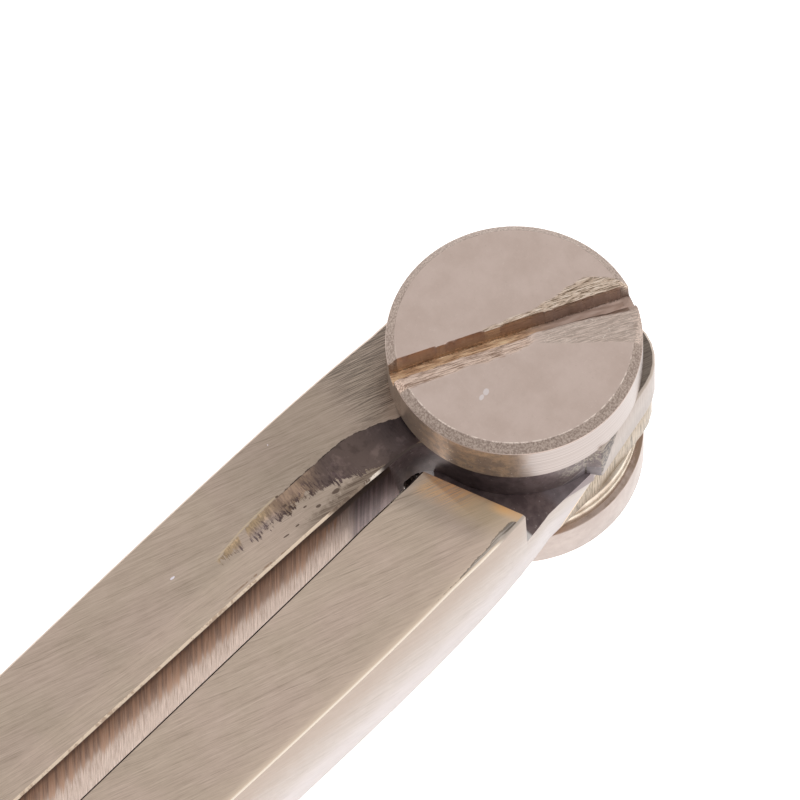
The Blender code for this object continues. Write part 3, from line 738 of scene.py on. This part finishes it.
def head_wear(s, t):
    """How far the head's face lies below its level, in mm, at s along the slot and t across it, and
    how much of each kind of wear is there: the slot, its lip, the chip, the chip's facet and the burr.

    The slot is a straight trench. Its lower edge slopes away as a flattened lip on the left half, and as
    a widening chip and a steeper facet on the right half. Above the right half the face is torn up.
    """
    low = SLOT_LOW + 0.05 * ripple(1.6 * s, 0, 3)
    high = SLOT_HIGH + 0.035 * ripple(2.1 * s, 0, 4)
    slot = step(t, low - 0.03, low + 0.03) * (1 - step(t, high - 0.03, high + 0.03))
    floor = SLOT_DEEP + 0.05 * ripple(1.5 * s, 4 * t, 5)

    left = 1 - step(s, 0.3, 1.3)
    lip_width = 0.80 + 0.10 * ripple(2.2 * s, 0, 7) - 0.3 * step(s, -0.6, 1.2)
    lip_share = np.clip(1 - (low - t) / lip_width, 0, 1)
    lip = left * step(lip_share, 0.0, 0.12) * (t < low + 0.02)
    scratches = ripple(1.3 * s, 16 * t, 9, 3, 0.7)
    lip_drop = left * (0.20 * lip_share**1.3 + 0.03 * (lip_share > 0) * (1 + scratches))

    right = step(s, 0.7, 1.6)
    reach = np.clip((s - 0.9) / 5.0, 0, 1)
    chip_edge = -0.86 - 0.345 * (s - 1.1) + 0.04 * ripple(2.5 * s, 0, 11)
    facet_edge = -0.16 - 0.03 * np.clip(s - 1.1, 0, 9) - 0.08 * np.clip(s - 3.7, 0, 9)
    facet_edge = facet_edge + 0.02 * ripple(3.0 * s, 0, 12)
    chip_share = np.clip((t - chip_edge) / np.maximum(facet_edge - chip_edge, 0.1), 0, 1)
    in_facet = step(t, facet_edge - 0.03, facet_edge + 0.03)
    chip = right * step(t, chip_edge, chip_edge + 0.04) * (1 - in_facet)
    facet_share = np.clip((t - facet_edge) / np.maximum(low + 0.12 - facet_edge, 0.12), 0, 1)
    facet = right * in_facet * (t < low + 0.02)
    ridges = 1 + ripple(0.9 * s, 7 * (t - chip_edge) / (0.6 + reach), 13, 3, 0.6)
    chip_drop = right * (chip_share**1.1 * (0.06 + 0.26 * reach) + 0.02 * (chip_share > 0) * ridges)
    chip_drop = chip_drop + right * facet_share * (0.10 + 0.30 * reach)

    burr_edge = np.interp(s, BURR_PLACES, BURR_EDGE)
    burr_edge = burr_edge + 0.06 * ripple(4.0 * s, 0, 15)
    burr = step(t, high, high + 0.04) * (1 - step(t, burr_edge - 0.06, burr_edge + 0.02))
    burr = burr * step(s, -1.8, -1.2)
    gouges = 1 + ripple(1.1 * s + 1.1 * t, 9 * t - 2.2 * s, 17, 3, 0.7)
    burr_drop = burr * (0.02 + 0.045 * gouges)
    nicks = np.clip(ripple(5.0 * s, 0, 19), 0, 2)
    nicks = nicks * step(t, high, high + 0.02) * (1 - step(t, high + 0.04, high + 0.14))

    worn = burr_drop + 0.04 * nicks + (lip_drop + chip_drop) * (t < high)
    drop = worn * (1 - slot) + np.maximum(floor, worn) * slot
    torn = np.maximum(burr, 0.6 * step(nicks, 0.2, 0.9))
    return drop, {"slot": slot, "lip": lip, "chip": chip, "facet": facet, "burr": torn}


def head_surface(rows, columns):
    """The head in slices along the slot, evenly spaced in angle round the rim. Each slice runs from the
    base up the wall and the chamfer, over the face and down again."""
    angle = np.linspace(-math.pi / 2, math.pi / 2, rows)[:, None]
    share = np.linspace(0, 1, 5)[1:-1]
    chamfer = HEAD_RADIUS - share * (HEAD_RADIUS - HEAD_RIM)
    ring_radius = np.concatenate([np.full(WALL_POINTS, HEAD_RADIUS), chamfer])
    wall = np.linspace(HEAD_BASE, HEAD_TOP - CHAMFER_DROP, WALL_POINTS)
    ring_height = np.concatenate([wall, HEAD_TOP - CHAMFER_DROP * (1 - share)])
    even = np.linspace(-1, 1, columns)
    spread = np.sin(even * math.pi / 2) * 0.25 + even * 0.75
    face_s = HEAD_RIM * np.cos(angle) * spread
    face_t = HEAD_RIM * np.sin(angle) * np.ones_like(spread)
    side_s = ring_radius * np.cos(angle)
    side_t = ring_radius * np.sin(angle)
    s = np.concatenate([-side_s, face_s, side_s[:, ::-1]], 1)
    t = np.concatenate([side_t, face_t, side_t[:, ::-1]], 1)
    level = np.concatenate([ring_height, np.full(columns, HEAD_TOP), ring_height[::-1]])
    drop, wear = head_wear(s / MM, t / MM)
    rim = np.hypot(s, t) / HEAD_RIM
    nibbled = 0.012 * MM * ripple(14 * np.arctan2(t, s), 0, 23) * np.exp(-(((rim - 1) / 0.02) ** 2))
    z = np.maximum(np.minimum(level + nibbled, HEAD_TOP - drop * MM), HEAD_BASE)
    x = s * math.cos(SLOT_HEADING) - t * math.sin(SLOT_HEADING)
    y = s * math.sin(SLOT_HEADING) + t * math.cos(SLOT_HEADING)
    return np.stack([x, y, z], -1), wear


def grid_mesh(name, grid, shares):
    """A closed mesh over a grid of points, its open base capped, with each share kept as an attribute."""
    rows, columns = grid.shape[:2]
    corner = (np.arange(rows - 1)[:, None] * columns + np.arange(columns - 1)).ravel()
    quads = np.stack([corner, corner + 1, corner + columns + 1, corner + columns], -1)
    mesh = bpy.data.meshes.new(name)
    mesh.from_pydata(grid.reshape(-1, 3).tolist(), [], quads.tolist())
    for label, values in shares.items():
        layer = mesh.attributes.new(label, "FLOAT", "POINT")
        layer.data.foreach_set("value", values.ravel().astype(np.float32))
    starts = np.arange(rows) * columns
    loop = np.concatenate([starts, starts[::-1] + columns - 1])
    shape = bmesh.new()
    shape.from_mesh(mesh)
    shape.verts.ensure_lookup_table()
    shape.faces.new([shape.verts[i] for i in loop])
    bmesh.ops.remove_doubles(shape, verts=shape.verts, dist=1e-7)
    bmesh.ops.recalc_face_normals(shape, faces=shape.faces)
    shape.to_mesh(mesh)
    shape.free()
    return mesh


def lathe_marks(tree, place, rate, detail=2.0):
    """Fine turning marks along one measure, such as the radius or the height."""
    sockets = {"W": product(tree, place, rate), "Scale": 1.0, "Detail": detail}
    return add(tree, "TexNoise", sockets, noise_dimensions="1D").outputs["Fac"]


def screw_look():
    """Faced metal with each kind of wear in its own colour, a granular chamfer and a turned wall. Painted
    light is mixed in: the lip lighter and the chip's facet darker for how their slopes face the light, a
    painted highlight round the face's arris, a painted shadow along the slot's upper edge, and the slot
    lightened with depth against its shade.

    The wall is bare on its right side; its left side is bronze, a speckled skin that also carries a painted
    warm reflection.
    """
    look, tree, shader, spot, (x, y, z) = metal_look("screw", 0.36, 0.4)
    sockets = {"Vector": spot, "Axis": (0, 0, 1), "Angle": -SLOT_HEADING}
    turned = add(tree, "VectorRotate", sockets, rotation_type="AXIS_ANGLE").outputs[0]
    s, t, _ = add(tree, "SeparateXYZ", {0: turned}).outputs
    radius = calc(tree, "SQRT", calc(tree, "MULTIPLY_ADD", x, x, product(tree, y, y)))
    tone = ground(tree, turned, 0.0, 0.9, 0.06)["Tone"]
    wear = {}
    for label in ("slot", "lip", "chip", "facet", "burr"):
        wear[label] = add(tree, "Attribute", attribute_name=label).outputs["Fac"]

    mottle = noise(tree, spot, 0.7, 7.0, 0.62)
    speck = noise(tree, spot, 9.0, 4.0, 0.7)
    face = blend(tree, ramp(tree, mottle, 0.3, 0.7), (0.635, 0.5, 0.435), (0.7, 0.56, 0.495))
    face = blend(tree, product(tree, ramp(tree, speck, 0.58, 0.76), 0.35), face, (0.48, 0.37, 0.31))
    face = blend(tree, product(tree, ramp(tree, speck, 0.42, 0.28), 0.35), face, (0.8, 0.67, 0.6))
    grain = noise(tree, spot, 10.0, 3.0, 0.7)
    rim = HEAD_RIM / MM
    outer = HEAD_RADIUS / MM
    chamfer = ramp(tree, radius, rim - 0.02, rim + 0.03)
    chamfer = product(tree, chamfer, ramp(tree, radius, outer - 0.004, outer - 0.03))
    granular = blend(tree, ramp(tree, grain, 0.36, 0.64), (0.3, 0.23, 0.195), (0.53, 0.43, 0.37))
    colour = blend(tree, chamfer, face, granular)
    # A painted highlight: a cream line round the face's arris on its lower right half, where a rounded edge
    # would catch the light.
    arris = stripe(tree, calc(tree, "SUBTRACT", radius, rim - 0.01), 0.03)
    arris = product(tree, arris, ramp(tree, calc(tree, "SUBTRACT", x, y), -1.0, 4.0))
    arris = product(tree, arris, ramp(tree, noise(tree, spot, 2.6, 4.0, 0.7), 0.44, 0.56))
    colour = blend(tree, product(tree, arris, 0.8), colour, (1.0, 0.86, 0.76))

    # The lip, chip and facet colours are their worn metal with painted light and shade added for how their
    # slopes face the light: the lip lighter, the facet darker.
    lip = blend(tree, ramp(tree, tone, 0.4, 0.56), (0.36, 0.24, 0.18), (0.86, 0.67, 0.56))
    colour = blend(tree, wear["lip"], colour, lip)
    chip = blend(tree, ramp(tree, tone, 0.4, 0.62), (0.46, 0.365, 0.31), (0.76, 0.62, 0.54))
    chip = blend(tree, product(tree, ramp(tree, speck, 0.58, 0.7), 0.8), chip, (0.95, 0.85, 0.77))
    colour = blend(tree, wear["chip"], colour, chip)
    facet = blend(tree, ramp(tree, tone, 0.4, 0.65), (0.42, 0.315, 0.265), (0.56, 0.43, 0.37))
    colour = blend(tree, wear["facet"], colour, facet)
    burr = blend(tree, ramp(tree, tone, 0.42, 0.5), (0.2, 0.14, 0.09), (0.72, 0.56, 0.44))
    burr = blend(tree, ramp(tree, tone, 0.52, 0.62), burr, (0.95, 0.82, 0.7))
    colour = blend(tree, wear["burr"], colour, burr)

    stain = blend(tree, ramp(tree, tone, 0.38, 0.6), (0.36, 0.215, 0.13), (0.8, 0.56, 0.36))
    stain = blend(tree, ramp(tree, s, 0.0, 2.5), stain, (0.46, 0.34, 0.285))
    # Painted light: the slot's colour lightened with depth, lifting the shade on its floor.
    sockets = {0: z, 1: HEAD_TOP / MM - 0.3, 2: HEAD_TOP / MM - 1.1, 3: 0.95, 4: 1.4}
    stain = scaled(tree, stain, add(tree, "MapRange", sockets).outputs[0])
    # A painted shadow: a thin dark line along the slot's upper edge.
    above = ramp(tree, calc(tree, "MULTIPLY_ADD", speck, 0.3, t), SLOT_HIGH + 0.02, SLOT_HIGH + 0.14)
    stain = blend(tree, product(tree, above, 0.7), stain, (0.1, 0.06, 0.04))
    crumbs = product(tree, ramp(tree, speck, 0.62, 0.7), ramp(tree, t, SLOT_LOW + 0.35, SLOT_LOW))
    stain = blend(tree, crumbs, stain, (0.08, 0.05, 0.04))
    colour = blend(tree, wear["slot"], colour, stain)
    dents = spots_mask(tree, s, t, DENTS, calc(tree, "SUBTRACT", mottle, 0.5), DENT_HEADING)
    colour = blend(tree, product(tree, dents, 0.5), colour, (0.95, 0.9, 0.92))

    wall_top = (HEAD_TOP - CHAMFER_DROP) / MM
    wall = ramp(tree, z, wall_top - 0.01, wall_top - 0.06)
    outside = product(tree, wall, ramp(tree, radius, outer - 0.03, outer - 0.01))
    bare = ramp(tree, lathe_marks(tree, z, 9.0, 4.0), 0.35, 0.65)
    bare = blend(tree, bare, (0.42, 0.35, 0.32), (0.54, 0.47, 0.44))
    # The wall's left side: a speckled bronze skin, partly a painted warm reflection, darker further round.
    patch = noise(tree, spot, 1.6, 4.0, 0.6)
    bronze = blend(tree, ramp(tree, patch, 0.4, 0.6), (0.5, 0.36, 0.27), (0.74, 0.52, 0.35))
    turn = calc(tree, "MULTIPLY_ADD", patch, 0.3, calc(tree, "ARCTAN2", y, x))
    bronze = blend(tree, ramp(tree, turn, -1.1, -1.7), bronze, (0.37, 0.28, 0.22))
    specks = product(tree, ramp(tree, speck, 0.52, 0.66), 0.45)
    bronze = blend(tree, specks, bronze, (0.28, 0.17, 0.11))
    bronze = blend(tree, ramp(tree, noise(tree, spot, 6.0, 2.0, 0.6), 0.68, 0.73), bronze, (1.0, 0.9, 0.8))
    bronze_side = product(tree, outside, ramp(tree, turn, -0.5, -0.7))
    colour = blend(tree, outside, colour, bare)
    colour = blend(tree, bronze_side, colour, bronze)
    tree.links.new(colour, shader.inputs["Base Color"])

    dull = calc(tree, "MAXIMUM", product(tree, bronze_side, 0.45), product(tree, wear["slot"], 0.5))
    tree.links.new(calc(tree, "SUBTRACT", 1.0, dull), shader.inputs["Metallic"])
    tangent = add(tree, "Tangent", direction_type="RADIAL", axis="Z").outputs[0]
    tree.links.new(tangent, shader.inputs["Tangent"])
    tree.links.new(calc(tree, "MULTIPLY_ADD", chamfer, 0.2, 0.34), shader.inputs["Roughness"])
    rough_ring = bump(tree, product(tree, grain, chamfer), 0.04, 0.8)
    damage = calc(tree, "ADD", wear["lip"], calc(tree, "ADD", wear["chip"], wear["burr"]))
    damage = calc(tree, "MINIMUM", damage, 1.0)
    torn = bump(tree, product(tree, tone, damage), 0.05, 0.7, rough_ring)
    rings = bump(tree, lathe_marks(tree, radius, 9.0), 0.003, 0.5, torn)
    tree.links.new(rings, shader.inputs["Normal"])
    return look


head_grid, head_shares = head_surface(SLICES, FACE_POINTS)
screw_mesh = grid_mesh("pivot_screw_head", head_grid, head_shares)
screw_mesh.shade_smooth()
screw_mesh.set_sharp_from_angle(angle=SHARP_ANGLE)
screw_mesh.materials.append(screw_look())
screw_head = bpy.data.objects.new("pivot_screw_head", screw_mesh)
bpy.context.scene.collection.objects.link(screw_head)
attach(screw_head, "right_side")
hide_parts("pivot_screw")


# POST AND WASHERS
# Turned nickel-silver pieces under the laps: a post with a round flange, stained on its upper face,
# and two thin bright washers that lie loose on it.

POST_ROUNDING = 0.06 * MM
WASHER_ROUNDING = 0.05 * MM


def turned_look(name, dark, light, roughness, skin_height=None):
    """A turned piece: mottled, with fine rings up its wall, a pinkish skin with brown stains above one
    height and a painted shadow on it towards the legs, and dirt with painted shade where it shows between
    the legs."""
    look, tree, shader, spot, (x, y, z) = metal_look(name, roughness, 0.4)
    mottle = noise(tree, spot, 1.2, 5.0, 0.6)
    colour = blend(tree, ramp(tree, mottle, 0.3, 0.7), dark, light)
    if skin_height:
        stained = calc(tree, "MULTIPLY_ADD", y, 0.04, mottle)
        skin = blend(tree, ramp(tree, stained, 0.44, 0.66), (0.54, 0.42, 0.36), (0.34, 0.24, 0.18))
        # A painted shadow: the skin darkened towards the gap between the legs.
        skin = blend(tree, ramp(tree, y, -4.6, -5.2), skin, (0.16, 0.11, 0.085))
        colour = blend(tree, ramp(tree, z, skin_height - 0.05, skin_height - 0.02), colour, skin)
    # Dirt and painted shade: dark, dull metal where the pieces show in the gap between the legs by the
    # joint.
    joint_dark = product(tree, ramp(tree, x, -2.8, -2.5), ramp(tree, x, -0.9, -1.3))
    joint_dark = product(tree, joint_dark, ramp(tree, y, -5.0, -5.5), ramp(tree, z, 1.7, 2.0))
    colour = blend(tree, joint_dark, colour, (0.03, 0.024, 0.022))
    away_from_joint = calc(tree, "SUBTRACT", 1.0, joint_dark)
    tree.links.new(away_from_joint, shader.inputs["Metallic"])
    tree.links.new(product(tree, away_from_joint, 0.5), shader.inputs["Specular IOR Level"])
    tree.links.new(colour, shader.inputs["Base Color"])
    tree.links.new(bump(tree, lathe_marks(tree, z, 80.0), 0.006, 0.5), shader.inputs["Normal"])
    return look


post_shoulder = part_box("lower_washer")[0].z / MM
post = dressed("pivot_post", "right_side", POST_ROUNDING)
post_look = turned_look("post", (0.475, 0.397, 0.363), (0.56, 0.48, 0.44), 0.34, post_shoulder)
post.data.materials.append(post_look)
washer_look = turned_look("washer", (0.62, 0.5, 0.39), (0.84, 0.74, 0.62), 0.3)
for washer_name in ("upper_washer", "lower_washer"):
    washer = dressed(washer_name, "right_side", WASHER_ROUNDING)
    washer.data.materials.append(washer_look)


# POINTS
# Ground steel needles let into the ends of the legs.

POINT_ROUNDING = 0.04 * MM


def point_look():
    """Grey steel, ground along its length."""
    look, tree, shader, spot, _ = metal_look("point_steel", 0.32, 0.4)
    marks = ground(tree, spot, LENGTHWISE, 2.5, 0.05)
    colour = blend(tree, ramp(tree, marks["Tone"], 0.35, 0.65), (0.4, 0.39, 0.38), (0.62, 0.61, 0.6))
    tree.links.new(colour, shader.inputs["Base Color"])
    tree.links.new(bump(tree, marks["Tone"], 0.008, 0.5), shader.inputs["Normal"])
    return look


steel = point_look()
for side in ("left", "right"):
    point = dressed(side + "_point", side + "_side", POINT_ROUNDING)
    point.data.materials.append(steel)
